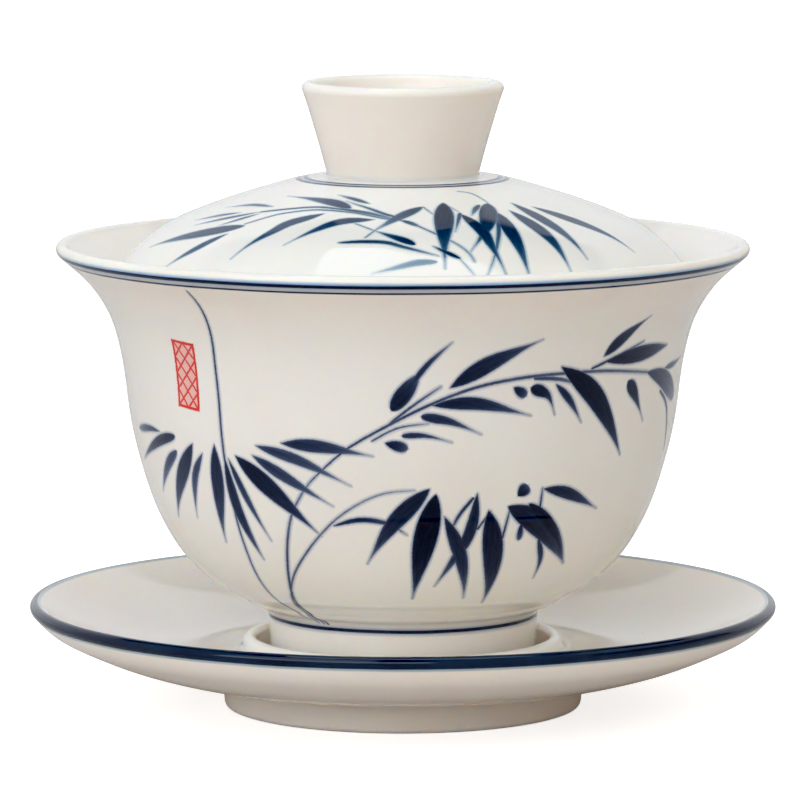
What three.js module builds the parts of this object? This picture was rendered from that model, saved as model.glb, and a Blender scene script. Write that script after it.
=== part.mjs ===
// A gaiwan: a lidded porcelain tea bowl standing on its saucer.
// Three fired pieces: the saucer, the bowl that stands in its well, and the lid that lies in
// the bowl's flared mouth. Each is turned about +Z from an outline of its wall.
// Millimetres, +Z up, origin on the table at the centre of the saucer's foot.

import * as THREE from 'three';

// ---------------------------------------------------------------- driving dimensions

const SIDES = 48; // flats round each turned piece
const CLEARANCE = 0.3; // air between pieces that rest on each other

const SAUCER_RADIUS = 53;
const SAUCER_RIM_ROUND = 0.9; // the rim's edge is a half round of this radius
const SAUCER_RIM_HEIGHT = 14.4; // centre of that half round
const SAUCER_FOOT_RADIUS = 25.4;
const SAUCER_FOOT_HEIGHT = 4.5;
const WELL_FLOOR = 5.4;
const WELL_RADIUS = 20.8;
const RIDGE_ROUND = 0.95; // the raised ring round the well
const RIDGE_HEIGHT = 10.2;

const BOWL_RADIUS = 49;
const BOWL_LIP_ROUND = 0.9;
const BOWL_LIP_HEIGHT = 59.65; // centre of the lip's half round, above the bowl's foot
const BOWL_FOOT_RADIUS = 18.7;
const BOWL_FOOT_HEIGHT = 7.4;
const BOWL_FLOOR = 9.7; // inside, above the foot
const BOWL_FOOT_CEILING = 6.7; // the hollow under the foot

const LID_EDGE_CENTRE_RADIUS = 40.45;
const LID_EDGE_ROUND = 1;
const LID_CEILING = 13.5; // inside of the dome, above the lid's edge
const KNOB_LIP_CENTRE_RADIUS = 13.35;
const KNOB_LIP_ROUND = 0.9;
const KNOB_LIP_HEIGHT = 28.4; // centre of the lip's half round, above the lid's edge
const KNOB_FLOOR = 17;

const BOWL_STANDS_AT = WELL_FLOOR + CLEARANCE; // above the table
const LID_LIES_AT = 53.9; // above the bowl's foot, where its edge meets the flare

// ---------------------------------------------------------------- parts of an outline
// An outline is a list of [radius, height] points, from the axis under the piece, out and up
// over its rim, and back to the axis on top.

const vector = ([radius, height]) => new THREE.Vector2(radius, height);
const radians = THREE.MathUtils.degToRad;

// A smooth wall through the given points.
function wall(points, steps) {
  return new THREE.SplineCurve(points.map(vector)).getPoints(steps);
}

// A fillet from one stretch to the next, round the corner where they would meet.
function fillet(from, corner, to, steps = 2) {
  return new THREE.QuadraticBezierCurve(vector(from), vector(corner), vector(to)).getPoints(steps);
}

// A rounded edge. Angles are in degrees: 0 points out, 90 points up.
function edge([radius, height], round, from, to, steps = 4) {
  const turnsBack = to < from;
  const start = radians(from);
  const end = radians(to);
  return new THREE.EllipseCurve(radius, height, round, round, start, end, turnsBack).getPoints(steps);
}

function onAxis(height) {
  return [new THREE.Vector2(0, height)];
}

function turned(name, outline, colour, roughness) {
  const separate = outline.filter((point, i) => i === 0 || point.distanceTo(outline[i - 1]) > 1e-4);
  const geometry = new THREE.LatheGeometry(separate, SIDES);
  geometry.rotateX(Math.PI / 2); // the lathe turns about Y; the piece stands along Z
  const material = new THREE.MeshStandardMaterial({ color: colour, roughness, metalness: 0 });
  const mesh = new THREE.Mesh(geometry, material);
  mesh.name = name;
  return mesh;
}

// ---------------------------------------------------------------- the saucer

function saucer() {
  const rimRadius = SAUCER_RADIUS - SAUCER_RIM_ROUND;
  const crest = [WELL_RADIUS + RIDGE_ROUND, RIDGE_HEIGHT - RIDGE_ROUND];
  const outline = [
    ...onAxis(2.5),
    ...fillet([20.8, 2.5], [22.1, 2.5], [22.2, 1.4]),
    ...fillet([22.3, 0.7], [22.35, 0], [23, 0]),
    ...fillet([24.6, 0], [25.3, 0], [SAUCER_FOOT_RADIUS, 0.8]),
    ...fillet([25.7, 4], [25.75, SAUCER_FOOT_HEIGHT], [26.4, 4.6]),
    ...wall([[30, 4.85], [33.9, 5.3], [39, 6.6], [43, 7.95], [47, 9.7], [50.4, 11.4]], 7),
    ...edge([rimRadius, SAUCER_RIM_HEIGHT], SAUCER_RIM_ROUND, -45, 125),
    ...wall([[49, 13.5], [45.5, 11.65], [41, 9.9], [36, 8.6], [31, 7.9], [27, 7.7]], 7),
    ...fillet([24.6, 7.75], [22.8, 7.85], [22.75, 8.9]),
    ...edge(crest, RIDGE_ROUND, 20, 180),
    ...fillet([20.3, 6.7], [20.1, WELL_FLOOR], [18.9, WELL_FLOOR]),
    ...onAxis(WELL_FLOOR),
  ];
  return turned('saucer', outline, 0xe9e4da, 0.12);
}

// ---------------------------------------------------------------- the bowl

function bowl() {
  const lip = [BOWL_RADIUS - BOWL_LIP_ROUND, BOWL_LIP_HEIGHT];
  const outline = [
    ...onAxis(BOWL_FOOT_CEILING),
    ...fillet([13.8, BOWL_FOOT_CEILING], [15.5, BOWL_FOOT_CEILING], [15.6, 5.2]),
    ...fillet([15.9, 0.8], [15.95, 0], [16.6, 0]),
    ...fillet([17.9, 0], [18.6, 0], [BOWL_FOOT_RADIUS, 0.8]),
    ...fillet([19.15, BOWL_FOOT_HEIGHT], [19.2, 8.3], [20.3, 8.9]),
    ...wall([
      [23.5, 10.6], [26.7, 12.3], [29.8, 14.9], [32.5, 18.3], [35.3, 23.8], [37.5, 30.8],
      [38.7, 36.4], [39.4, 42.1], [40.2, 46.4], [41.6, 50.8], [44.6, 55.3], [48, 58.3],
    ], 14),
    ...edge(lip, BOWL_LIP_ROUND, -40, 140),
    ...wall([
      [45.1, 58.2], [43.15, 56.5], [39.8, 51.7], [38.15, 46.9], [37.3, 42.4], [36.5, 36.8],
      [35.3, 31.4], [33.1, 24.7], [30.4, 19.6], [27.9, 16.7], [25.1, 14.3], [20.5, 12.2],
      [14.5, 10.6],
    ], 14),
    ...onAxis(BOWL_FLOOR),
  ];
  return turned('bowl', outline, 0xe9e4da, 0.1);
}

// ---------------------------------------------------------------- the lid, with its knob

function lid() {
  const knobLip = [KNOB_LIP_CENTRE_RADIUS, KNOB_LIP_HEIGHT];
  const outline = [
    ...onAxis(LID_CEILING),
    ...wall([
      [11, 13.1], [17.4, 12.2], [23.1, 10.5], [27.5, 9.1], [31.8, 7.4], [35.8, 4.7], [37.7, 2.7],
    ], 8),
    ...edge([LID_EDGE_CENTRE_RADIUS, LID_EDGE_ROUND], LID_EDGE_ROUND, -145, 38),
    ...wall([
      [39.3, 4], [37.3, 6.25], [35.2, 8], [32.9, 9.4], [28.4, 11.3], [23.9, 12.9], [18.1, 14.7],
      [13.2, 15.95],
    ], 9),
    ...fillet([12, 16.2], [11.1, 16.3], [11.2, 17.2]),
    ...wall([[11.9, 19.6], [12.8, 23], [13.7, 26.4]], 3),
    ...edge(knobLip, KNOB_LIP_ROUND, -20, 165),
    ...fillet([9.7, 19.2], [9.1, KNOB_FLOOR + 0.1], [7.4, KNOB_FLOOR], 3),
    ...onAxis(KNOB_FLOOR),
  ];
  return turned('lid', outline, 0xe9e4da, 0.1);
}

// ---------------------------------------------------------------- the pieces as they stand

const gaiwan = new THREE.Group();
const bowlWithLid = new THREE.Group();
const lidPiece = lid();

lidPiece.position.z = LID_LIES_AT;
bowlWithLid.position.z = BOWL_STANDS_AT;
bowlWithLid.add(bowl(), lidPiece);
gaiwan.add(saucer(), bowlWithLid);

export default gaiwan;
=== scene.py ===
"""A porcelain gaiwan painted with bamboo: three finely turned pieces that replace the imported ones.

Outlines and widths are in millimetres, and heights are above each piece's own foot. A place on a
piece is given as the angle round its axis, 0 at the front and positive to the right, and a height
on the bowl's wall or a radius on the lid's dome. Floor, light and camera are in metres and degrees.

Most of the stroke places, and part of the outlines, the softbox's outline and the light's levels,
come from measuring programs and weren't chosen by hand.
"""
import math

import bpy
import numpy as np
from mathutils import Matrix, Vector


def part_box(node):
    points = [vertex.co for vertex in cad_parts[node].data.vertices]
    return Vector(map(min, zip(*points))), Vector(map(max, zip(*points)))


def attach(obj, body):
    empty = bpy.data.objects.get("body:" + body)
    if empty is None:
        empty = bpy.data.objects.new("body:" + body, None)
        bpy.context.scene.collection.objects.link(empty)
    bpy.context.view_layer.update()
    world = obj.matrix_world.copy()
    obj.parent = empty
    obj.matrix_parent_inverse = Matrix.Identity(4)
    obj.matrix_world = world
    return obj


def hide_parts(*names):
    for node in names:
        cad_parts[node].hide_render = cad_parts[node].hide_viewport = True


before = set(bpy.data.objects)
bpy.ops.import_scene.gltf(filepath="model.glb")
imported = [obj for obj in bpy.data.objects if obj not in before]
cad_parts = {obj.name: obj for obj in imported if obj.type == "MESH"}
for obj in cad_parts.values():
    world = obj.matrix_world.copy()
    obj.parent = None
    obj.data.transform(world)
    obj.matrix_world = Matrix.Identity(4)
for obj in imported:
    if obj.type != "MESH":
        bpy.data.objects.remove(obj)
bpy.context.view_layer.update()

MM = 0.001
SIDES = 256  # facets round each piece
FINE = 0.75  # spacing of the points along a wall
SMOOTHING = 1.3  # how far along a wall its curve is evened out
TIGHTEST_BEND = 0.5  # radians a millimetre: an inner corner as tight as this gets the full painted shade, along with pooled glaze


# ------------------------------------------------------------------ outlines

def spread(points, spacing):
    """The same line with its points evenly spread, about that far apart."""
    points = np.array(points, float)
    steps = np.linalg.norm(np.diff(points, axis=0), axis=1)
    along = np.concatenate([[0], np.cumsum(steps)])
    count = max(2, int(round(along[-1] / spacing)) + 1)
    even = np.linspace(0, along[-1], count)
    return np.column_stack([np.interp(even, along, points[:, k]) for k in (0, 1)])


def through(points, per_step=24):
    """A Catmull-Rom curve through the points."""
    p = np.array(points, float)
    p = np.vstack([p[0], p, p[-1]])
    t = np.linspace(0, 1, per_step, endpoint=False)[:, None]
    parts = []
    for a, b, c, d in zip(p[:-3], p[1:-2], p[2:-1], p[3:]):
        into, out = (c - a) / 2, (d - b) / 2
        parts.append(b + into * t + (3 * (c - b) - 2 * into - out) * t**2
                     + (2 * (b - c) + into + out) * t**3)
    return np.vstack(parts + [p[-1:]])


def wall(points):
    """A smooth wall through the points, evened out so that its glaze reflects cleanly."""
    fine = 0.1
    line = spread(through(points), fine)
    reach = int(3 * SMOOTHING / fine)
    kernel = np.exp(-0.5 * (np.arange(-reach, reach + 1) * fine / SMOOTHING) ** 2)
    kernel /= kernel.sum()
    before = 2 * line[0] - line[reach:0:-1]
    after = 2 * line[-1] - line[-2:-reach - 2:-1]
    padded = np.vstack([before, line, after])
    smooth = np.column_stack([np.convolve(padded[:, k], kernel, "valid") for k in (0, 1)])
    return spread(smooth, FINE)


def fillet(start, corner, end, steps=6):
    """A soft corner, from start to end."""
    start, corner, end = (np.array(p, float) for p in (start, corner, end))
    t = np.linspace(0, 1, steps + 1)[:, None]
    return start * (1 - t) ** 2 + corner * 2 * t * (1 - t) + end * t**2


def edge(centre, radius, start, end, steps=14):
    """A rounded edge. Angles are in degrees: 0 points out, 90 points up."""
    turn = np.radians(np.linspace(start, end, steps + 1))
    return np.array(centre) + radius * np.column_stack([np.cos(turn), np.sin(turn)])


def straight(start, end, spacing=1.5):
    """A straight stretch, with points along it."""
    return spread([start, end], spacing)


def outline(*stretches):
    """One outline from its stretches, from the axis below to the axis above, with no doubled point."""
    points = np.vstack([np.atleast_2d(np.array(s, float)) for s in stretches])
    gaps = np.linalg.norm(np.diff(points, axis=0), axis=1)
    return points[np.concatenate([[True], gaps > 0.02])]


def turned_length(line):
    """How far along the outline each of its points is."""
    return np.concatenate([[0], np.cumsum(np.linalg.norm(np.diff(line, axis=0), axis=1))])


def length_at(line, point):
    """How far along the outline its nearest place to the given point is."""
    a, step = line[:-1], np.diff(line, axis=0)
    share = ((np.array(point) - a) * step).sum(1) / (step**2).sum(1)
    nearest = a + np.clip(share, 0, 1)[:, None] * step
    k = np.linalg.norm(nearest - point, axis=1).argmin()
    return turned_length(line)[k] + np.linalg.norm(nearest[k] - a[k])


SAUCER_RIM = (52.1, 14.4)
SAUCER_RIM_ROUND = 0.9
SAUCER = outline(
    (0, 2.5),
    straight((2, 2.5), (20.6, 2.5)),
    fillet((20.8, 2.5), (22.1, 2.5), (22.2, 1.4)),
    fillet((22.3, 0.7), (22.35, 0), (23, 0)),
    fillet((24.6, 0), (25.3, 0), (25.4, 0.8)),
    fillet((25.7, 4), (25.75, 4.5), (26.4, 4.6)),
    wall([
        (27, 4.6), (30, 4.85), (33.9, 5.3), (39, 6.6), (43, 7.95), (47, 9.7), (50.4, 11.4), (52.6, 13.6),
    ]),
    edge(SAUCER_RIM, SAUCER_RIM_ROUND, -45, 125),
    wall([
        (51.3, 14.95), (49, 13.5), (45.5, 11.65), (41, 9.9), (36, 8.6), (31, 7.9), (27, 7.7), (24.9, 7.75),
    ]),
    fillet((24.6, 7.75), (22.8, 7.85), (22.75, 8.9)),
    edge((21.75, 9.25), 0.95, 0, 180),
    fillet((20.3, 6.7), (20.1, 5.4), (18.9, 5.4)),
    straight((18.5, 5.4), (2, 5.4)),
    (0, 5.4),
)

BOWL_LIP = (48.1, 59.65)
BOWL_LIP_ROUND = 0.9
BOWL_OUTSIDE = [
    (20.9, 9.2), (23.5, 10.6), (26.7, 12.3), (29.8, 14.9), (32.5, 18.3), (35.3, 23.8), (37.5, 30.8),
    (38.7, 36.4), (39.4, 42.1), (40.2, 46.4), (41.6, 50.8), (44.6, 55.3), (48, 58.3), (48.75, 59),
]
BOWL_WALL = wall(BOWL_OUTSIDE)
BOWL_SIDE = np.vstack([[(19.2, 7.8), (19.6, 8.5), (20.3, 8.9)], BOWL_WALL])
BOWL_INSIDE = [
    (47.3, 60.1), (45.1, 58.2), (43.15, 56.5), (39.8, 51.7), (38.15, 46.9), (37.3, 42.4), (36.5, 36.8),
    (35.3, 31.4), (33.1, 24.7), (30.4, 19.6), (27.9, 16.7), (25.1, 14.3), (20.5, 12.2), (14.5, 10.6),
    (8, 9.9), (2, 9.7),
]
BOWL = outline(
    (0, 6.7),
    straight((2, 6.7), (13.6, 6.7)),
    fillet((13.8, 6.7), (15.5, 6.7), (15.6, 5.2)),
    fillet((15.9, 0.8), (15.95, 0), (16.6, 0)),
    fillet((17.9, 0), (18.6, 0), (18.7, 0.8)),
    straight((18.75, 1.6), (19.12, 7)),
    fillet((19.15, 7.4), (19.2, 8.3), (20.3, 8.9)),
    through([(20.3, 8.9), (21.4, 9.3), (22.25, 9.72), (22.9, 10.25)], 5),
    BOWL_WALL[BOWL_WALL[:, 1] > 10.35],
    edge(BOWL_LIP, BOWL_LIP_ROUND, -40, 140),
    wall(BOWL_INSIDE),
    (0, 9.7),
)

LID_EDGE = (40.45, 1)
LID_EDGE_ROUND = 1
KNOB_LIP = (13.3, 28.35)
KNOB_LIP_ROUND = 0.95
LID_OUTSIDE = [
    (41.2, 1.7), (39.3, 4), (37.3, 6.25), (35.2, 8), (32.9, 9.4), (28.4, 11.3), (23.9, 12.9), (18.1, 14.7),
    (15.2, 15.5), (13.6, 15.85), (12.2, 16), (11.3, 16.02),
]
LID_WALL = wall(LID_OUTSIDE)
LID = outline(
    (0, 13.5),
    wall([
        (2, 13.48), (6, 13.4), (11, 13.1), (17.4, 12.2), (23.1, 10.5), (27.5, 9.1), (31.8, 7.4),
        (35.8, 4.7), (37.7, 2.7), (39.5, 0.55),
    ]),
    edge(LID_EDGE, LID_EDGE_ROUND, -145, 38),
    LID_WALL,
    fillet((11.15, 16.03), (10.75, 16.05), (10.8, 16.5)),
    wall([(10.85, 16.7), (11.6, 19.6), (12.6, 23), (13.6, 26.4), (14.15, 27.95)]),
    edge(KNOB_LIP, KNOB_LIP_ROUND, -15, 165),
    straight((12.2, 28), (9.85, 19.7)),
    fillet((9.7, 19.2), (9.1, 17.1), (7.4, 17)),
    straight((7, 17), (1.5, 17)),
    (0, 17),
)


# ------------------------------------------------------------------ turned pieces

class Turned:
    """A piece turned from an outline, with what its paint needs to know about its surface. The
    strokes stay between the two points of paint_side, which is left out on a piece without any."""

    def __init__(self, name, line, paint_side=None):
        self.name = name
        self.line = line
        self.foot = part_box(name)[0].z / MM  # the piece's lowest point, above the table
        self.lengths = turned_length(line)
        rings = line[1:-1]
        angle = np.arange(SIDES) * 2 * math.pi / SIDES
        self.points = np.stack([
            rings[:, :1] * np.sin(angle),
            -rings[:, :1] * np.cos(angle),
            np.repeat(rings[:, 1:] + self.foot, SIDES, axis=1),
        ], axis=-1).reshape(-1, 3)
        self.ring_of = np.repeat(np.arange(1, len(line) - 1), SIDES)
        self.make_mesh(len(rings))
        if paint_side:
            low, high = (length_at(line, p) for p in paint_side)
            at = self.lengths[self.ring_of]
            self.paintable = (at >= low) & (at <= high)

    def make_mesh(self, ring_count):
        ring = np.arange(ring_count - 1)[:, None] * SIDES
        side = np.arange(SIDES)[None, :]
        after = (side + 1) % SIDES
        quads = np.stack([ring + side, ring + after, ring + SIDES + after, ring + SIDES + side], axis=-1)
        self.quads = quads.reshape(-1, 4)
        last = len(self.points)
        top = (ring_count - 1) * SIDES
        under = [(last, b, a) for a, b in zip(range(SIDES), after[0])]
        over = [(top + a, top + b, last + 1) for a, b in zip(range(SIDES), after[0])]
        ends = [(0, 0, self.line[0][1] + self.foot), (0, 0, self.line[-1][1] + self.foot)]
        points = np.vstack([self.points, ends])
        mesh = bpy.data.meshes.new(self.name + "_porcelain")
        mesh.from_pydata((points * MM).tolist(), [], self.quads.tolist() + under + over)
        mesh.validate()
        mesh.shade_smooth()
        self.mesh = mesh
        self.object = bpy.data.objects.new(self.name + "_porcelain", mesh)
        bpy.context.scene.collection.objects.link(self.object)
        self.add_point_values("turn_mm", np.concatenate([self.lengths[self.ring_of], [0, self.lengths[-1]]]))
        # how much painted shade and pooled glaze each ring of the outline gets
        self.add_point_values("corner_pool_and_shade", np.concatenate([self.corners_pooled_and_shaded()[self.ring_of], [0, 0]]))

    def corners_pooled_and_shaded(self):
        """1 in the tightest inner corners of the outline, which get painted shade along with pooled glaze,
        and 0 where the outline doesn't bend inwards.
        """
        step = np.diff(self.line, axis=0)
        heading = np.unwrap(np.arctan2(step[:, 1], step[:, 0]))
        bend = np.concatenate([[0], np.diff(heading), [0]])
        size = np.linalg.norm(step, axis=1)
        spacing = np.concatenate([[1], (size[1:] + size[:-1]) / 2, [1]])
        return np.clip(-bend / spacing / TIGHTEST_BEND, 0, 1)

    def add_point_values(self, name, values):
        attribute = self.mesh.attributes.new(name, "FLOAT", "POINT")
        attribute.data.foreach_set("value", np.asarray(values, np.float32))

    def add_corner_values(self, name, values):
        """Three values for each corner of each quad; the triangles at the axis stay 0."""
        full = np.zeros((len(self.mesh.loops), 3), np.float32)
        full[:values.size // 3] = values.reshape(-1, 3)
        attribute = self.mesh.attributes.new(name, "FLOAT_VECTOR", "CORNER")
        attribute.data.foreach_set("vector", full.ravel())

    def normals(self):
        step = np.gradient(self.line, axis=0)[self.ring_of]
        step /= np.linalg.norm(step, axis=1)[:, None]
        around = self.points[:, :2] / np.linalg.norm(self.points[:, :2], axis=1)[:, None]
        return np.column_stack([around * step[:, 1:], -step[:, 0]])

    def place(self, angle, radius, height):
        turn = np.radians(angle)
        return np.column_stack([radius * np.sin(turn), -radius * np.cos(turn), height + self.foot])


# ------------------------------------------------------------------ brush strokes

HALO = 0.6  # how far the cobalt bleeds beyond a stroke
HALO_SHARE = 0.19  # how much of a stroke's cobalt its halo holds
RAGGED = 0.14  # how far a stroke's edge wanders
SOFT_EDGE = (-0.12, 0.16)  # across a stroke's edge, from where the cobalt begins to where it is whole
MIDDLE = 0.6  # how far inside its edge a stroke is at its darkest
EDGE_DEPTH, MIDDLE_DEPTH = 0.82, 1.08
FULL_LOAD, SPENT_LOAD = 1.12, 0.6  # the brush's load at the start, and how much of it a stroke uses
STREAK_LOW, STREAK_SPAN = 0.78, 0.44


def stroke(places, width, start, end, tone):
    """One stroke of the brush through places on a piece. A low start or end power leaves that end blunt."""
    return {"places": places, "width": width, "start": start, "end": end, "tone": tone}


def leaf(*places, width, tone=1.3, start=1, end=1.75):
    return stroke(places, width, start, end, tone)


def tailed(*places, width, tone=1.3):
    """A leaf that swells at once and ends in a long thin tail."""
    return stroke(places, width, 0.7, 2.6, tone)


def dab(*places, width, tone=1.4):
    """A short touch of the brush, blunt at the far end."""
    return stroke(places, width, 0.8, 0.45, tone)


def stem(*places, width=0.32, tone=0.8):
    return stroke(places, width, 0.12, 0.2, tone)


def centre_line(places, piece, on_piece):
    """The stroke's middle as points on the piece, in millimetres."""
    flat = through(places, 12) if len(places) > 2 else np.linspace(places[0], places[1], 25)
    return on_piece(piece, flat)


def stroke_coordinates(points, normals, centre):
    """Each point's distance to the side of the centre line, and how far along it it lies."""
    step = np.diff(centre, axis=0)
    size = np.linalg.norm(step, axis=1)
    done = np.concatenate([[0], np.cumsum(size)])
    away = points[:, None, :] - centre[None, :-1, :]
    share = (away * step).sum(-1) / size**2
    inside = np.clip(share, 0, 1)
    miss = np.linalg.norm(away - inside[..., None] * step, axis=-1)
    nearest = miss.argmin(1)
    rows = np.arange(len(points))
    share = share[rows, nearest]
    low = np.where(nearest == 0, -np.inf, 0)
    high = np.where(nearest == len(size) - 1, np.inf, 1)
    share = np.clip(share, low, high)
    direction = step[nearest] / size[nearest][:, None]
    side = np.cross(normals, direction)
    off = away[rows, nearest] - share[:, None] * step[nearest]
    return (off * side).sum(1), done[nearest] + share * size[nearest], done[-1]


def swell(share, start, end):
    peak = start / (start + end)
    share = np.clip(share, 0, 1)
    return share**start * (1 - share)**end / (peak**start * (1 - peak)**end)


def lay_strokes(piece, strokes, on_piece):
    """Gives the quads under each stroke the stroke's own coordinates. Strokes that share a quad go to
    different layers, and the number of layers is returned."""
    normals = piece.normals()
    quad_paintable = piece.paintable[piece.quads].all(1)
    layers = []
    for mark in strokes:
        centre = centre_line(mark["places"], piece, on_piece)
        reach = mark["width"] / 2 + HALO + 2
        low, high = centre.min(0) - reach, centre.max(0) + reach
        close = ((piece.points > low) & (piece.points < high)).all(1) & piece.paintable
        index = np.flatnonzero(close)
        if not len(index):
            continue
        side, along, length = stroke_coordinates(piece.points[index], normals[index], centre)
        half = mark["width"] / 2 * swell(along / length, mark["start"], mark["end"])
        wet = (np.abs(side) < half + HALO) & (along > -HALO) & (along < length + HALO)
        local = np.full(len(piece.points), -1)
        local[index] = np.arange(len(index))
        corners = local[piece.quads]
        usable = quad_paintable & (corners >= 0).all(1)
        covered = np.flatnonzero(usable & wet[corners].any(1))
        layer = next((l for l in layers if not l["taken"][covered].any()), None)
        if layer is None:
            blank = np.zeros((len(piece.quads), 4, 3), np.float32)
            layer = {"taken": np.zeros(len(piece.quads), bool), "place": blank, "shape": blank.copy(),
                     "tone": blank.copy()}
            layers.append(layer)
        layer["taken"][covered] = True
        peak = mark["start"] / (mark["start"] + mark["end"])
        scale = mark["width"] / 2 / (peak**mark["start"] * (1 - peak)**mark["end"])
        c = corners[covered]
        layer["place"][covered] = np.stack([side[c], along[c], np.full(c.shape, scale)], axis=-1)
        layer["shape"][covered] = (length, mark["start"], mark["end"])
        layer["tone"][covered] = (mark["tone"], len(layers), 0)
    for k, layer in enumerate(layers):
        for part in ("place", "shape", "tone"):
            piece.add_corner_values(f"{part}_{k}", layer[part])
    return len(layers)


def on_bowl(piece, flat):
    """Places given as (angle, height) on the bowl's outer wall."""
    radius = np.interp(flat[:, 1], BOWL_SIDE[:, 1], BOWL_SIDE[:, 0])
    return piece.place(flat[:, 0], radius, flat[:, 1])


def on_lid(piece, flat):
    """Places given as (angle, radius) on the lid's dome."""
    outside = LID_WALL[::-1]
    height = np.interp(flat[:, 1], outside[:, 0], outside[:, 1])
    return piece.place(flat[:, 0], flat[:, 1], height)


BOWL_STEMS = [
    stem((-38.8, 57.4), (-38.5, 53.8), (-39.7, 46.6), (-39.9, 40.2), (-40, 33.7), (-40, 25.4),
         (-40.2, 19.2), (-41, 12.6), (-39.8, 10.2), (-36.5, 8.5), width=0.38, tone=1.05),
    stem((-32, 8.3), (-34.6, 10.9), (-30.5, 16.2), (-27.2, 22.3), (-24.7, 26.4), (-20.4, 30.5), (-16.5, 33),
         width=0.42, tone=1.05),
    stroke([(-20.4, 30.5), (-16.5, 33), (-10.9, 36.1), (-2.8, 39.3), (5, 42), (14, 44.3), (23, 45.4),
            (32, 45.7), (44, 45.5), (57, 44.5), (66, 43.6)], width=0.5, start=0.35, end=0.2, tone=1),
    stem((-34, 8.3), (-35.8, 10.9), (-31, 15.1), (-24, 20), (-15.6, 25.3), (-9.2, 28.2), (-3.6, 29.7),
         (2.6, 30.1), width=0.36, tone=0.85),
]

LEFT_FAN = [
    leaf((-61, 35.8), (-66.3, 35.9), (-73.5, 35.3), width=1.1, tone=1, start=0.9, end=0.5),
    leaf((-55, 35.6), (-62.6, 34.3), (-75.3, 30.8), width=1.5, tone=1.3, start=0.5, end=1.4),
    leaf((-55.2, 33.5), (-60.4, 31.1), (-67.3, 26.8), width=1.5, tone=0.9, start=0.6, end=1.4),
    leaf((-49, 35), (-52.7, 32), (-57.8, 28), (-63, 23.5), width=2.4, tone=1.2),
    leaf((-46.3, 33.8), (-50.5, 30), (-53.8, 24), width=1.3, tone=0.95),
    leaf((-42.4, 35.3), (-43.5, 29), (-46, 21), width=2.35, tone=1.25),
    leaf((-40, 33.7), (-39, 26.5), (-35.6, 19), width=1.7, tone=1.3, end=1.3),
    leaf((-39, 33.5), (-35.8, 28), (-31.6, 22), width=1.1, tone=1.1),
    leaf((-37, 34), (-29, 29.5), (-18.5, 23.2), width=2.8, tone=1.5, end=1.9),
    leaf((-32.7, 34.3), (-24, 31), (-15, 27.6), width=1.7, tone=1.05, end=1.9),
    leaf((-31.6, 35.7), (-21.5, 33.9), (-10.8, 30.6), width=1.6, tone=1, end=1.8),
    leaf((-25.6, 36.3), (-16, 36), (-6, 34.9), width=1.85, tone=1.15),
]

HIGH_BRANCH = [
    leaf((-2.3, 41.3), (0.3, 43.7), (3.3, 46.6), width=2.3, tone=1.4, start=0.6, end=0.9),
    leaf((1.2, 44.5), (4.8, 47.8), (9.3, 50.9), width=0.8, tone=1.2, start=0.5, end=1),
    leaf((9.2, 44.4), (17, 47.7), (27.3, 50.8), width=2.4, tone=1.35),
    stem((-2.8, 39.4), (2, 42), (7.6, 44.7), width=0.4, tone=1),
    leaf((5.7, 42), (15, 42.1), (26.5, 40.1), width=1.8, tone=1.35),
    leaf((3.6, 40.5), (9.5, 39.7), (16, 37.8), width=1.3, tone=1.2, start=0.5),
    leaf((-0.2, 37.8), (4.5, 37.8), (10, 36.8), width=0.8, tone=1.2, start=0.4),
    dab((-3.6, 36.8), (1, 36), width=1.5),
    stem((-6.4, 37), (-1, 38.9), (5.3, 39.5), width=0.3, tone=0.9),
    dab((22.3, 44.2), (25.2, 42.9), width=1.4),
    tailed((26, 44), (30, 42.8), (32, 40), width=1.7, tone=1.4),
    leaf((31.7, 44.3), (35.5, 41.8), (38.8, 38.6), width=1.1, tone=1.3),
    leaf((32.5, 46.7), (42.2, 41.9), (52, 33.2), width=3.1, tone=1.7, start=1, end=1.5),
    stem((26.5, 45.3), (32, 45), (37.7, 44), width=0.6, tone=0.9),
    leaf((42.8, 47.6), (47, 50), (53, 52.8), width=2, tone=1.35),
    stem((40, 46), (46, 47.3), (54.5, 49.1), width=0.45, tone=1),
    leaf((43.5, 46.8), (54, 47.3), (65, 47.8), width=2.4, tone=1.45, end=1.1),
    tailed((51.5, 43.6), (54.5, 41.6), (58.9, 37.5), width=2, tone=1.3),
    dab((58.2, 44.4), (66.5, 42.9), (76, 39.6), width=3, tone=1),
    stem((65.5, 41.3), (71, 38.5), (75.8, 32), width=0.6, tone=0.8),
    leaf((66.2, 44.4), (72, 44.6), (78, 45.2), width=1, tone=0.8),
]

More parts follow.
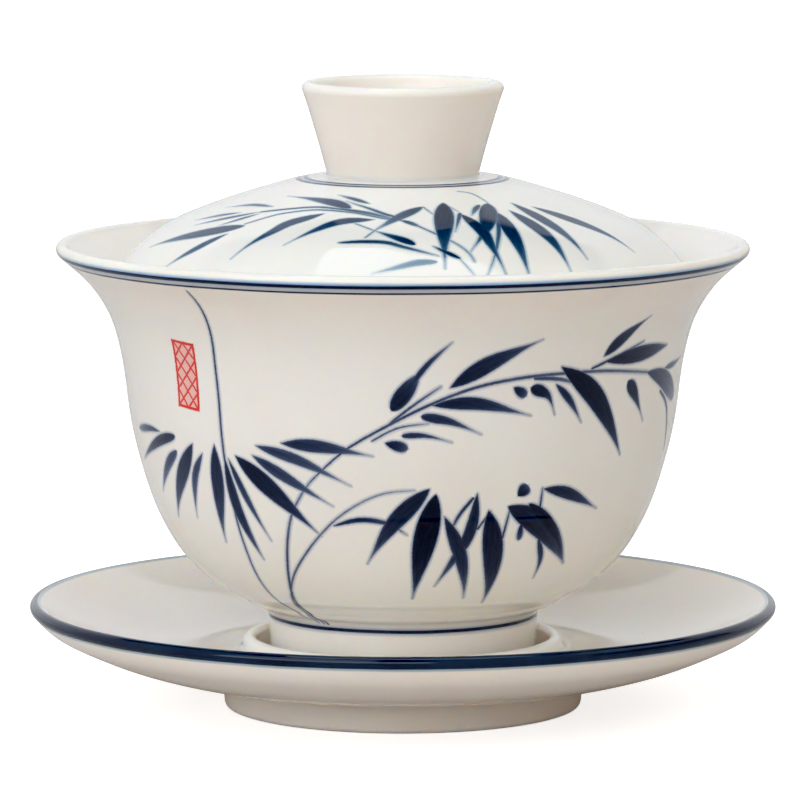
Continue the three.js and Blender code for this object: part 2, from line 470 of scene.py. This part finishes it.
LOW_SPRAY = [
    stroke([(-15.5, 24.8), (-9.4, 25.8), (-3.3, 25.3), (1, 23.6)],
           width=0.8, start=0.7, end=0.9, tone=1.2),
    leaf((5.6, 30.3), (-2, 25.3), (-8.5, 19.3), width=2.5, tone=1.4, start=0.9),
    leaf((7, 29.5), (4.8, 22.3), (2.6, 13.8), width=3.3, tone=1.8, start=0.85),
    leaf((9, 26.3), (13.5, 20.5), (17, 13.7), width=2, tone=1.3),
    leaf((15.9, 29.5), (14.7, 23.2), (8.1, 15.8), width=1.7, tone=1.3, start=0.9, end=1.5),
    stem((15.2, 28.9), (12.3, 26.5), (10.8, 24.4), width=0.5, tone=1.2),
    leaf((18.8, 27), (21.5, 20.5), (23.7, 12.7), width=3, tone=1.45, start=0.9),
    stem((16.6, 24.2), (19.4, 26.9), width=0.35, tone=1.1),
    stem((22.8, 21.8), (23.8, 27.2), width=0.35, tone=1.2),
    leaf((23.2, 27.4), (33, 24), (43.5, 18), width=3.6, tone=1.4, start=0.8, end=1.3),
    leaf((28.2, 27.6), (35, 24), (43.5, 18), width=1.8, tone=1.7, start=0.7),
    dab((27.2, 25), (27.3, 22.3), width=0.9),
    leaf((32.3, 22.6), (35, 19.3), (35.6, 16.2), width=0.9, tone=1.2),
    dab((25.2, 28.8), (27.4, 30.2), width=2),
    stem((31.2, 25.3), (31, 29.8), width=0.35, tone=1.2),
    leaf((31.2, 29.6), (38, 28.6), (48, 25.8), width=1.75, tone=1.35),
]

LID_BRANCHES = [
    stem((-48.4, 29.4), (-44, 26.8), (-40.2, 25.3), (-30, 23.6), (-16.3, 24.1), (-5.3, 25.8), (-0.5, 26.3),
         (4, 27.9), (8.4, 30.1), (12.9, 32.8), (15.1, 34.8), (15.7, 36.2), width=0.42, tone=1.1),
    stem((-50.7, 25.7), (-40.5, 23.8), (-30, 22.7), (-16.3, 23.6), (-5.3, 25.3), (-1, 26.2),
         width=0.58, tone=1.1),
    leaf((-24, 22.8), (-12, 24), (-2, 26), width=0.9, tone=1.1, start=0.5, end=0.5),
    leaf((-47.2, 29.8), (-55.6, 32), (-64.3, 34.2), (-74.6, 36.7), width=2.6, tone=1.2, start=0.7),
    leaf((-48.8, 32.1), (-53.4, 35.5), (-58.9, 38.5), width=1.4, tone=1.1),
    leaf((-58.1, 26.5), (-65.4, 28.2), (-72.5, 30.5), width=0.9, tone=1, end=1.2),
    leaf((-50.7, 25.7), (-58.9, 28.3), (-67.5, 31.4), width=0.9, tone=1.1, end=1.2),
    leaf((-49.5, 26.1), (-53, 28.1), (-57, 30.6), width=0.8, tone=1, end=1.2),
    leaf((-49.4, 23.7), (-61, 24), (-72, 26), width=0.9, tone=1, end=1.4),
    leaf((-26.1, 24.7), (-33.6, 27.9), (-35.9, 30.7), (-40.3, 36.5), width=2.1, tone=1.25, start=0.9, end=2),
    leaf((-8.6, 26.1), (-18.3, 26.9), (-24.1, 29.7), (-29, 33.6), width=1.9, tone=1.25, end=2),
    leaf((-18.4, 22.7), (-27.1, 21), (-39.8, 20.1), (-53.5, 20), width=2, tone=1.15, start=0.7, end=2),
    leaf((-12.5, 21), (-20.2, 19.5), (-29.5, 18.2), width=0.9, tone=1.1, end=1.4),
    leaf((-1.9, 25.3), (-5.6, 24.4), (-12.9, 22.3), (-23, 20.2), width=0.7, tone=1.1, start=0.3, end=0.9),
    stroke([(-15.8, 32.6), (-10.1, 32.2), (-4.3, 32.3), (0, 33.3), (4, 34.2), (8, 35.1)],
           width=0.9, start=0.5, end=0.9, tone=1.25),
    stem((-14, 27.3), (-4.5, 30.3), width=0.26, tone=0.9),
    stem((-9.6, 31.3), (-5.1, 26.8), width=0.24, tone=0.9),
    # this leaf is paler than its neighbours: painted highlight, where the softbox's reflection lies over the
    # lid's front
    leaf((7.5, 36), (3.2, 36.1), (-1.4, 36.8), (-6.5, 37.6), width=1.2, tone=0.5, start=0.5, end=1.2),
    leaf((7.1, 21.9), (1.6, 24), (-3.1, 26.3), (-7.6, 29.4), width=1.8, tone=1.15, start=0.8, end=1.5),
    leaf((2.9, 32.9), (0.6, 31.9), (-2.7, 30.8), (-7.6, 29.3), width=1.4, tone=1.4, start=0.6, end=1.4),
    leaf((-0.7, 26.2), (2, 27), (5.2, 28.4), width=0.9, tone=1.2, start=0.8, end=1),
    leaf((15.6, 20.7), (12.4, 26.3), (10.3, 31.3), (8.9, 37), width=2.8, tone=1.45, start=0.75, end=1.7),
    leaf((19, 24.2), (16.5, 26.7), (13.8, 29.8), width=0.6, tone=1.2, start=0.3, end=1.2),
    leaf((19, 24.6), (21.3, 29), (21.2, 33.8), (21.8, 38.2), width=2, tone=1.4, start=0.9, end=2),
    leaf((33, 21.5), (27.8, 25.3), (21.3, 30.4), (15.3, 34.6), width=2.6, tone=1.4, start=0.7, end=2),
    stem((26.6, 16.8), (32.3, 17.9), (33.5, 20.8), (32.5, 23), width=0.24, tone=0.8),
    leaf((33.3, 22), (31, 25), (28.3, 27.7), (24.1, 31.9), (20.9, 35.2), (17.6, 38), width=0.7, tone=1.1,
         start=0.5, end=1),
    leaf((32, 24.8), (29.2, 30.5), (27.3, 36.1), (26.8, 38.6), width=2.2, tone=1.4, start=0.8, end=1.6),
    leaf((37.5, 24.2), (38.5, 30.5), (37.2, 38), width=2.3, tone=1.35),
    leaf((43.4, 21.9), (44.5, 29), (43.7, 36.7), width=2.2, tone=1.3),
    leaf((49.3, 23.7), (56.5, 30), (61.3, 36.6), width=2.4, tone=1.3),
    leaf((29, 21.8), (25.4, 23.3), (22, 25.2), width=0.8, tone=1.1, start=0.6, end=1.1),
    stem((7.2, 21.9), (10.3, 24.9), width=0.28),
    stem((15.6, 20.8), (19.3, 24.4), width=0.22, tone=0.7),
    leaf((12.7, 35.6), (10, 34.5), (7.1, 33.2), width=0.75, tone=1.7, start=0.6, end=0.9),
    stem((12.4, 35.5), (14.9, 37.9), width=0.22, tone=0.6),
]


# ------------------------------------------------------------------ the red mark

MARK_CENTRE = (-48.3, 44.7)  # angle and height on the bowl
MARK_SIZE = (4.1, 9.4)
MARK_LEAN = 5
MARK_WEAR = 0.35  # how far its lines wander
LATTICE_STEP = 1.175
LATTICE_SLOPE = 1.15


def lay_mark(piece):
    """Gives the quads near the red mark their place in it: across, up, and 1 where the mark may show."""
    angle, height = MARK_CENTRE
    middle = on_bowl(piece, np.array([MARK_CENTRE]))[0]
    above = on_bowl(piece, np.array([(angle, height + 1)]))[0]
    up = (above - middle) / np.linalg.norm(above - middle)
    turn = math.radians(angle)
    across = np.array([math.cos(turn), math.sin(turn), 0])
    lean = math.radians(MARK_LEAN)
    across, up = (across * math.cos(lean) - up * math.sin(lean),
                  up * math.cos(lean) + across * math.sin(lean))
    offset = piece.points - middle
    place = np.column_stack([offset @ across, offset @ up, np.ones(len(offset))])
    near = piece.paintable & (np.linalg.norm(offset, axis=1) < MARK_SIZE[1])
    shown = near[piece.quads].all(1)
    values = np.where(shown[:, None, None], place[piece.quads], 0)
    piece.add_corner_values("mark", values)


# ------------------------------------------------------------------ nodes

class Nodes:
    """Short names for the nodes that the materials here use."""

    def __init__(self, tree):
        self.tree = tree

    def add(self, kind, **settings):
        node = self.tree.nodes.new(kind)
        for name, value in settings.items():
            setattr(node, name, value)
        return node

    def put(self, socket, value):
        if isinstance(value, bpy.types.NodeSocket):
            self.tree.links.new(value, socket)
        else:
            socket.default_value = value

    def math(self, operation, *values):
        node = self.add("ShaderNodeMath", operation=operation)
        for socket, value in zip(node.inputs, values):
            self.put(socket, value)
        return node.outputs[0]

    def ramp(self, value, low, high, bottom=0.0, top=1.0):
        """Goes smoothly from bottom to top as value goes from low to high."""
        node = self.add("ShaderNodeMapRange", interpolation_type="SMOOTHSTEP")
        for name, entry in (("Value", value), ("From Min", low), ("From Max", high),
                            ("To Min", bottom), ("To Max", top)):
            self.put(node.inputs[name], entry)
        return node.outputs["Result"]

    def attribute(self, name, output="Vector"):
        return self.add("ShaderNodeAttribute", attribute_name=name).outputs[output]

    def split(self, vector):
        node = self.add("ShaderNodeSeparateXYZ")
        self.put(node.inputs[0], vector)
        return node.outputs

    def join(self, x, y, z):
        node = self.add("ShaderNodeCombineXYZ")
        for socket, value in zip(node.inputs, (x, y, z)):
            self.put(socket, value)
        return node.outputs[0]

    def noise(self, vector, scale, detail=2.0, roughness=0.5):
        node = self.add("ShaderNodeTexNoise")
        self.put(node.inputs["Vector"], vector)
        node.inputs["Scale"].default_value = scale
        node.inputs["Detail"].default_value = detail
        node.inputs["Roughness"].default_value = roughness
        return node.outputs["Fac"]

    def scaled(self, vector, factors):
        node = self.add("ShaderNodeVectorMath", operation="MULTIPLY")
        self.put(node.inputs[0], vector)
        node.inputs[1].default_value = factors
        return node.outputs[0]

    def mix(self, factor, first, second, blend="MIX"):
        node = self.add("ShaderNodeMix", data_type="RGBA", blend_type=blend)
        self.put(node.inputs["Factor"], factor)
        self.put(node.inputs[6], first)
        self.put(node.inputs[7], second)
        return node.outputs[2]


def stroke_group():
    """How much cobalt a stroke leaves at a place given in its own coordinates."""
    group = bpy.data.node_groups.new("brush_stroke", "ShaderNodeTree")
    for name, kind in (("Place", "NodeSocketVector"), ("Shape", "NodeSocketVector"),
                       ("Tone", "NodeSocketVector"), ("Ragged", "NodeSocketFloat"),
                       ("Streaks", "NodeSocketFloat")):
        group.interface.new_socket(name, in_out="INPUT", socket_type=kind)
    group.interface.new_socket("Cobalt", in_out="OUTPUT", socket_type="NodeSocketFloat")
    n = Nodes(group)
    given = n.add("NodeGroupInput").outputs
    side, along, scale = n.split(given["Place"])
    length, start, end = n.split(given["Shape"])
    tone = n.split(given["Tone"])[0]
    share = n.math("DIVIDE", along, n.math("MAXIMUM", length, 0.001))
    share = n.math("MINIMUM", n.math("MAXIMUM", share, 0.0), 1.0)
    rise = n.math("POWER", share, start)
    fall = n.math("POWER", n.math("SUBTRACT", 1.0, share), end)
    half = n.math("MULTIPLY", scale, n.math("MULTIPLY", rise, fall))
    beyond = n.math("MAXIMUM", n.math("MULTIPLY", along, -1.0), n.math("SUBTRACT", along, length))
    beyond = n.math("MAXIMUM", beyond, 0.0)
    inside = n.math("SUBTRACT", half, n.math("ADD", n.math("ABSOLUTE", side), beyond))
    inside = n.math("ADD", inside, n.math("MULTIPLY", n.math("SUBTRACT", given["Ragged"], 0.5), RAGGED))
    core = n.ramp(inside, *SOFT_EDGE)
    deep = n.ramp(inside, 0.0, MIDDLE, EDGE_DEPTH, MIDDLE_DEPTH)
    halo = n.ramp(inside, -HALO, 0.05, 0.0, 1.0)
    halo = n.math("MULTIPLY", n.math("MULTIPLY", halo, halo), HALO_SHARE)
    used = n.math("MULTIPLY", n.math("MULTIPLY", share, share), SPENT_LOAD)
    load = n.math("SUBTRACT", FULL_LOAD, used)
    streak = n.math("ADD", STREAK_LOW, n.math("MULTIPLY", given["Streaks"], STREAK_SPAN))
    ink = n.math("MULTIPLY", n.math("MULTIPLY", tone, load), n.math("MULTIPLY", streak, deep))
    cobalt = n.math("MAXIMUM", n.math("MULTIPLY", core, ink), n.math("MULTIPLY", halo, tone))
    there = n.math("GREATER_THAN", length, 0.01)
    n.put(n.add("NodeGroupOutput").inputs[0], n.math("MULTIPLY", cobalt, there))
    return group


def line_round(n, turn, wander, centre, width, soft):
    """1 on a line that runs round the piece at that length along its outline, with soft edges."""
    off = n.math("ABSOLUTE", n.math("SUBTRACT", n.math("ADD", turn, wander), centre))
    return n.ramp(off, width / 2 + soft, width / 2 - soft)


COBALT = (0.052, 0.079, 0.17)  # what one unit of the paint lets through, in red, green and blue
CLEAR_COBALT = (0.06, 0.135, 0.25)  # the bluer paint on the lid and on the saucer's rim
BLEED = (0.1, 0.28, 0.75)  # where the cobalt has run in the glaze
RED_LEFT = (0.8, 0.06, 0.05)  # what the red mark lets through
BODY = (0.87, 0.826, 0.75)
CLOUD_TINT = (0.975, 0.968, 0.95)
# a greyer, darker body for the tightest inner corners: painted shade, with the glaze that pools there
POOLED_AND_SHADED = (0.74, 0.735, 0.68)
POOLED_AND_SHADED_SHARE = 0.35
SPECK = (0.3, 0.22, 0.14)
SPECK_SHARE = 0.35
BISCUIT = (0.7, 0.62, 0.5)  # the fired clay without glaze
GRAIN_TINT = (0.8, 0.78, 0.75)
SMOOTHEST, DULLEST = 0.03, 0.065  # roughness of the glaze
BISCUIT_ROUGHNESS = 0.55
GLAZE_IOR = 1.5
GLAZE_SPECULAR = 0.38
SCATTER = (1.0, 0.7, 0.45)  # how far red, green and blue travel under the glaze, as shares of SCATTER_REACH
SCATTER_REACH = 1.5 * MM
RELIEF = 0.02 * MM  # height of the waves in the glaze


def tinted(colour, tint=(1, 1, 1)):
    return (*(share * kept for share, kept in zip(colour, tint)), 1)


def through_colour(n, amount, left):
    """The share of light that this amount of paint lets through."""
    return n.join(*[n.math("POWER", share, amount) for share in left])


def all_cobalt(n, place, layers, turn, lines):
    """The cobalt of every stroke layer and every line. A line is its place along the outline, its
    width, its amount of cobalt and the softness of its edges."""
    ragged = n.noise(place, 2600.0, 2.0, 0.6)
    wander = n.math("MULTIPLY", n.math("SUBTRACT", n.noise(place, 60.0, 2.0), 0.5), 0.22)
    load = n.math("ADD", 0.75, n.math("MULTIPLY", n.noise(place, 130.0, 3.0), 0.5))
    cobalt = 0.0
    if layers:
        group = stroke_group()
    for k in range(layers):
        node = n.add("ShaderNodeGroup", node_tree=group)
        spot = n.attribute(f"place_{k}")
        n.put(node.inputs["Place"], spot)
        n.put(node.inputs["Shape"], n.attribute(f"shape_{k}"))
        n.put(node.inputs["Tone"], n.attribute(f"tone_{k}"))
        n.put(node.inputs["Ragged"], ragged)
        n.put(node.inputs["Streaks"], n.noise(n.scaled(spot, (2.6, 0.35, 0.0)), 1.0, 2.0, 0.6))
        cobalt = n.math("MAXIMUM", cobalt, node.outputs["Cobalt"])
    for centre, width, amount, soft in lines:
        there = line_round(n, turn, wander, centre, width, soft)
        ink = n.math("MULTIPLY", there, n.math("MULTIPLY", load, amount))
        cobalt = n.math("MAXIMUM", cobalt, ink)
    return cobalt


def red_mark(n):
    """A tall frame filled with a plain diagonal lattice."""
    across, up, there = n.split(n.attribute("mark"))
    wear = n.noise(n.attribute("mark"), 1.6, 3.0, 0.7)
    rough = n.math("MULTIPLY", n.math("SUBTRACT", wear, 0.5), MARK_WEAR)
    wide, tall = MARK_SIZE[0] / 2, MARK_SIZE[1] / 2
    from_side = n.math("SUBTRACT", n.math("ABSOLUTE", across), wide)
    from_end = n.math("SUBTRACT", n.math("ABSOLUTE", up), tall)
    outside = n.math("MAXIMUM", from_side, from_end)
    frame_line = n.ramp(n.math("ABSOLUTE", n.math("ADD", outside, rough)), 0.3, 0.1)
    inner = n.ramp(outside, -0.1, -0.25)
    lattice = 0.0
    for lean in (1.0, -1.0):
        run = n.math("ADD", up, n.math("MULTIPLY", across, LATTICE_SLOPE * lean))
        fold = n.math("PINGPONG", n.math("ADD", run, 8 * LATTICE_STEP), LATTICE_STEP)
        lattice = n.math("MAXIMUM", lattice, n.ramp(n.math("ADD", fold, rough), 0.34, 0.12))
    lattice = n.math("MULTIPLY", lattice, inner)
    wash = n.ramp(outside, 0.5, -0.2, 0.0, 0.17)
    red = n.math("MAXIMUM", n.math("MAXIMUM", frame_line, n.math("MULTIPLY", lattice, 0.9)), wash)
    return n.math("MULTIPLY", red, n.math("GREATER_THAN", there, 0.5))


def porcelain(name, layers, lines, bare, paint, bleeds=(), painted_lightening=1.0, marked=False):
    """Glazed warm white porcelain with its paint under the glaze. bare lists the stretches of the
    outline that were wiped clean of glaze, which show the fired clay. bleeds are lines of run
    cobalt, given as all_cobalt's lines are. The lightening factor makes the body fairer: painted
    light, which makes up for light that the piece lacks."""
    material = bpy.data.materials.new(name)
    material.use_nodes = True
    n = Nodes(material.node_tree)
    shader = material.node_tree.nodes["Principled BSDF"]
    place = n.add("ShaderNodeTexCoord").outputs["Object"]
    turn = n.attribute("turn_mm", "Fac")
    corner_pool_and_shade = n.attribute("corner_pool_and_shade", "Fac")

    cloudy = n.noise(place, 45.0, 3.0, 0.55)
    # a lighter copy of the body where asked: painted light
    painted_light_body = [share * painted_lightening for share in BODY]
    body = n.mix(n.ramp(cloudy, 0.3, 0.75), tinted(painted_light_body), tinted(painted_light_body, CLOUD_TINT))
    # painted shade in the tightest inner corners, with the glaze that pools there
    body = n.mix(n.math("MULTIPLY", corner_pool_and_shade, POOLED_AND_SHADED_SHARE), body, tinted(POOLED_AND_SHADED))
    specks = n.add("ShaderNodeTexVoronoi", feature="F1")
    n.put(specks.inputs["Vector"], place)
    specks.inputs["Scale"].default_value = 260.0
    rare = n.math("GREATER_THAN", n.split(specks.outputs["Color"])[0], 0.985)
    speck = n.math("MULTIPLY", n.ramp(specks.outputs["Distance"], 0.07, 0.03), rare)
    body = n.mix(n.math("MULTIPLY", speck, SPECK_SHARE), body, tinted(SPECK))

    cobalt = all_cobalt(n, place, layers, turn, lines)
    colour = n.mix(1.0, body, through_colour(n, cobalt, paint), "MULTIPLY")
    for centre, width, amount, soft in bleeds:
        blue = n.math("MULTIPLY", line_round(n, turn, 0.0, centre, width, soft), amount)
        colour = n.mix(1.0, colour, through_colour(n, blue, BLEED), "MULTIPLY")
    if marked:
        colour = n.mix(1.0, colour, through_colour(n, red_mark(n), RED_LEFT), "MULTIPLY")

    clay = 0.0
    for start, end in bare:
        wiped = n.math("ADD", turn, n.math("MULTIPLY", n.math("SUBTRACT", n.noise(place, 150.0), 0.5), 0.25))
        middle, half = (start + end) / 2, (end - start) / 2
        off = n.math("ABSOLUTE", n.math("SUBTRACT", wiped, middle))
        clay = n.math("MAXIMUM", clay, n.ramp(off, half + 0.05, half - 0.05))
    grain = n.noise(place, 3500.0, 3.0, 0.7)
    clay_colour = n.mix(grain, tinted(BISCUIT, GRAIN_TINT), tinted(BISCUIT))
    colour = n.mix(clay, colour, clay_colour)
    n.put(shader.inputs["Base Color"], colour)

    smear = n.noise(place, 90.0, 3.0, 0.6)
    gloss = n.ramp(smear, 0.35, 0.8, SMOOTHEST, DULLEST)
    n.put(shader.inputs["Roughness"], n.math("ADD", gloss, n.math("MULTIPLY", clay, BISCUIT_ROUGHNESS)))
    shader.inputs["IOR"].default_value = GLAZE_IOR
    shader.inputs["Specular IOR Level"].default_value = GLAZE_SPECULAR
    shader.inputs["Subsurface Weight"].default_value = 1.0
    shader.inputs["Subsurface Radius"].default_value = SCATTER
    shader.inputs["Subsurface Scale"].default_value = SCATTER_REACH

    waves = n.noise(place, 120.0, 2.0, 0.45)
    peel = n.noise(place, 900.0, 2.0, 0.5)
    rough_clay = n.math("MULTIPLY", grain, n.math("MULTIPLY", clay, 1.5))
    height = n.math("ADD", n.math("MULTIPLY", waves, 1.0), n.math("MULTIPLY", peel, 0.05))
    height = n.math("ADD", height, rough_clay)
    bump = n.add("ShaderNodeBump")
    bump.inputs["Distance"].default_value = RELIEF
    bump.inputs["Strength"].default_value = 1.0
    n.put(bump.inputs["Height"], height)
    n.put(shader.inputs["Normal"], bump.outputs["Normal"])
    return material


# ------------------------------------------------------------------ the three pieces

def finish_piece(piece, material, body):
    piece.mesh.materials.append(material)
    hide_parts(piece.name)
    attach(piece.object, body)


def stretch(line, start, end):
    """From where to where a stretch of the outline runs, as lengths along it."""
    return length_at(line, start), length_at(line, end)


def make_saucer():
    piece = Turned("saucer", SAUCER)
    rim = edge(SAUCER_RIM, SAUCER_RIM_ROUND, -52, 98)
    low, high = stretch(SAUCER, rim[0], rim[-1])
    lines = [
        ((low + high) / 2, high - low, 2.1, 0.12),
        ((low + high) / 2, high - low + 0.9, 0.3, 0.3),
    ]
    bare = [stretch(SAUCER, (22.55, 0.15), (25.1, 0.2))]
    # the saucer's body is made 5 % fairer: painted light, which makes up for light that the saucer lacks
    material = porcelain("saucer_porcelain", 0, lines, bare, CLEAR_COBALT, painted_lightening=1.05)
    finish_piece(piece, material, "saucer")


def make_bowl():
    piece = Turned("bowl", BOWL, ((19.3, 8.2), BOWL_OUTSIDE[-1]))
    layers = lay_strokes(piece, BOWL_STEMS + LEFT_FAN + HIGH_BRANCH + LOW_SPRAY, on_bowl)
    lay_mark(piece)
    thick = length_at(BOWL, (48.65, 59.1))
    thin = length_at(BOWL, (47.75, 58.15))
    foot = length_at(BOWL, (19.24, 7.66))
    lines = [
        (thick, 0.55, 2, 0.1),
        (thin, 0.38, 1.4, 0.1),
        ((thick + thin) / 2, thick - thin, 0.17, 0.15),
        (foot, 0.48, 1.5, 0.12),
        (foot, 1, 0.22, 0.4),
    ]
    bleeds = [(thick + 0.1, 0.75, 0.75, 0.4)]
    bare = [stretch(BOWL, (16.15, 0.15), (18.35, 0.15))]
    material = porcelain("bowl_porcelain", layers, lines, bare, COBALT, bleeds, marked=True)
    finish_piece(piece, material, "bowl")


def make_lid():
    piece = Turned("lid", LID, (LID_OUTSIDE[0], LID_OUTSIDE[-1]))
    layers = lay_strokes(piece, LID_BRANCHES, on_lid)
    lines = [(length_at(LID, (radius, 15.7)), 0.6, 1.3, 0.1) for radius in (14.8, 13.75)]
    lines.append((length_at(LID, (14.3, 15.7)), 1.5, 0.25, 0.2))
    bare = [stretch(LID, (39.9, 0.15), (41.1, 0.25))]
    material = porcelain("lid_porcelain", layers, lines, bare, CLEAR_COBALT)
    finish_piece(piece, material, "lid")


# ------------------------------------------------------------------ floor, light and camera

FLOOR_COLOUR = (0.72, 0.675, 0.63)
FLOOR_GLOW = 0.74  # lifts the floor to white for the camera without lighting the pieces from below
FLOOR_REACH = 6.0
FLOOR_DROP = 0.00005  # keeps it clear of the saucer's foot
FLOOR_CORNERS = 64
FLOOR_OPENING = 0.021  # hidden inside the saucer's foot, so that its underside isn't black from below


def make_floor():
    """A wide pale ring, seen from above only."""
    corners = FLOOR_CORNERS
    turns = [2 * math.pi * k / corners for k in range(corners)]
    points = [(reach * math.cos(t), reach * math.sin(t), -FLOOR_DROP)
              for reach in (FLOOR_OPENING, FLOOR_REACH) for t in turns]
    faces = [(k, corners + k, corners + (k + 1) % corners, (k + 1) % corners) for k in range(corners)]
    mesh = bpy.data.meshes.new("floor")
    mesh.from_pydata(points, [], faces)
    floor = bpy.data.objects.new("floor", mesh)
    bpy.context.scene.collection.objects.link(floor)
    material = bpy.data.materials.new("pale_floor")
    material.use_nodes = True
    n = Nodes(material.node_tree)
    shader = material.node_tree.nodes["Principled BSDF"]
    shader.inputs["Base Color"].default_value = (*FLOOR_COLOUR, 1)
    shader.inputs["Roughness"].default_value = 0.9
    shader.inputs["Specular IOR Level"].default_value = 0.1
    shader.inputs["Emission Color"].default_value = (1, 1, 1, 1)
    glow = n.math("MULTIPLY", n.add("ShaderNodeLightPath").outputs["Is Camera Ray"], FLOOR_GLOW)
    n.put(shader.inputs["Emission Strength"], glow)
    clear = n.add("ShaderNodeBsdfTransparent")
    mix = n.add("ShaderNodeMixShader")
    n.put(mix.inputs[0], n.add("ShaderNodeNewGeometry").outputs["Backfacing"])
    n.put(mix.inputs[1], shader.outputs[0])
    n.put(mix.inputs[2], clear.outputs[0])
    n.put(material.node_tree.nodes["Material Output"].inputs["Surface"], mix.outputs[0])
    mesh.materials.append(material)


SOFTBOX_OUTLINE = [(-0.36, -0.25), (-0.3, -0.04), (-0.2, 0.25), (-0.16, 0.37), (-0.05, 0.34), (0.02, 0.18),
                   (0.1, 0.14), (0.22, 0.09), (0.34, -0.02), (0.42, -0.12), (0.25, -0.3)]
SOFTBOX_HEIGHT = 0.85
SOFTBOX_COLOUR = (0.9, 0.99, 1.04)
SOFTBOX_GLOW = 2.55


def make_softbox():
    """The softbox in the tent's roof, cut off on the right, which shows in the front of the lid."""
    mesh = bpy.data.meshes.new("softbox")
    corners = [(x, y, SOFTBOX_HEIGHT) for x, y in SOFTBOX_OUTLINE]
    mesh.from_pydata(corners, [], [tuple(range(len(corners)))])
    box = bpy.data.objects.new("softbox", mesh)
    bpy.context.scene.collection.objects.link(box)
    material = bpy.data.materials.new("softbox_cloth")
    material.use_nodes = True
    n = Nodes(material.node_tree)
    glow = n.add("ShaderNodeEmission")
    glow.inputs["Color"].default_value = (*SOFTBOX_COLOUR, 1)
    glow.inputs["Strength"].default_value = SOFTBOX_GLOW
    n.put(material.node_tree.nodes["Material Output"].inputs["Surface"], glow.outputs[0])
    mesh.materials.append(material)
    box.visible_camera = False


def panel(n, direction, azimuth, half_width, low, high, soft):
    """1 where a direction meets a panel of the light tent: an azimuth, 0 at the back and 90 at the
    right, give or take half its width, between two elevations, with edges as soft as the last
    value says. All are in degrees."""
    x, y, z = direction
    turn = math.radians(azimuth)
    aside = n.math("SUBTRACT", n.math("MULTIPLY", x, math.cos(turn)), n.math("MULTIPLY", y, math.sin(turn)))
    ahead = n.math("ADD", n.math("MULTIPLY", x, math.sin(turn)), n.math("MULTIPLY", y, math.cos(turn)))
    off = n.math("ABSOLUTE", n.math("ARCTAN2", aside, ahead))
    up = n.math("ARCSINE", z)
    soft = math.radians(soft)
    inside = n.ramp(off, math.radians(half_width) + soft, math.radians(half_width) - soft)
    inside = n.math("MULTIPLY", inside, n.ramp(up, math.radians(low) - soft, math.radians(low) + soft))
    return n.math("MULTIPLY", inside, n.ramp(up, math.radians(high) + soft, math.radians(high) - soft))


TENT_GAPS = (0.02, 0.02, 0.02)  # the light between the panels

# name, azimuth, half width, low edge, high edge, softness of the edges, light; later ones lie on top
TENT_PANELS = [
    ("below", 0, 200, -91, -20, 2, (0.6, 0.58, 0.56)),
    ("back", 0, 60, -20, 40, 1.5, (0.9, 0.9, 0.94)),
    ("backdrop", 0, 60, -20, 8, 6, (0.82, 0.83, 0.84)),
    ("left", -90, 30, -5, 60, 2, (0.58, 0.66, 0.8)),
    ("left, low", -90, 30, -5, 25, 6, (0.88, 0.74, 0.66)),
    ("right", 90, 30, 25, 60, 5, (1, 1.02, 1)),
    ("right, low", 90, 30, -5, 25, 5, (0.35, 0.28, 0.24)),
    ("front left, high", -145, 25, 29, 60, 2, (1.5, 1.78, 2.15)),
    ("front, low", -155, 35, -5, 9, 2, (0.85, 0.78, 0.76)),
    ("main light", -155, 35, 9, 29, 2, (3.05, 3.16, 3.45)),
    ("front right, low", 145, 25, -5, 25, 4, (0.88, 0.65, 0.52)),
    ("front right", 145, 25, 25, 60, 4, (0.55, 0.76, 0.93)),
]


def make_light():
    """A white light tent with its main light at the front left and a softbox in its roof."""
    world = bpy.data.worlds.new("light_tent")
    bpy.context.scene.world = world
    world.use_nodes = True
    n = Nodes(world.node_tree)
    direction = n.split(n.add("ShaderNodeTexCoord").outputs["Generated"])
    colour = (*TENT_GAPS, 1)
    for _, azimuth, half_width, low, high, soft, light in TENT_PANELS:
        there = panel(n, direction, azimuth, half_width, low, high, soft)
        colour = n.mix(there, colour, (*light, 1))
    background = world.node_tree.nodes["Background"]
    n.put(background.inputs["Color"], colour)
    make_softbox()


CAMERA_PLACE = (-0.0004, -0.905, 0.156)
CAMERA_AIM = (-0.0004, 0, 0.0436)
SENSOR_WIDTH = 36  # millimetres, as the lens
LENS = 289.4
NEAREST, FURTHEST = 0.05, 50


def make_camera():
    """At the viewing angle of a product shot from just above the lid's height."""
    data = bpy.data.cameras.new("camera")
    data.sensor_width = SENSOR_WIDTH
    data.lens = LENS
    data.clip_start = NEAREST
    data.clip_end = FURTHEST
    camera = bpy.data.objects.new("camera", data)
    place = Vector(CAMERA_PLACE)
    facing = (Vector(CAMERA_AIM) - place).to_track_quat("-Z", "Y").to_matrix().to_4x4()
    camera.matrix_world = Matrix.Translation(place) @ facing
    bpy.context.scene.collection.objects.link(camera)
    bpy.context.scene.camera = camera


BLACK_LEVEL = 0.017


def make_view():
    """Plain colours, with the deepest shadows closed up a little as a camera does."""
    view = bpy.context.scene.view_settings
    view.view_transform = "Standard"
    view.use_curve_mapping = True
    view.curve_mapping.black_level = (BLACK_LEVEL,) * 3
    view.curve_mapping.update()


make_saucer()
make_bowl()
make_lid()
make_floor()
make_light()
make_camera()
make_view()
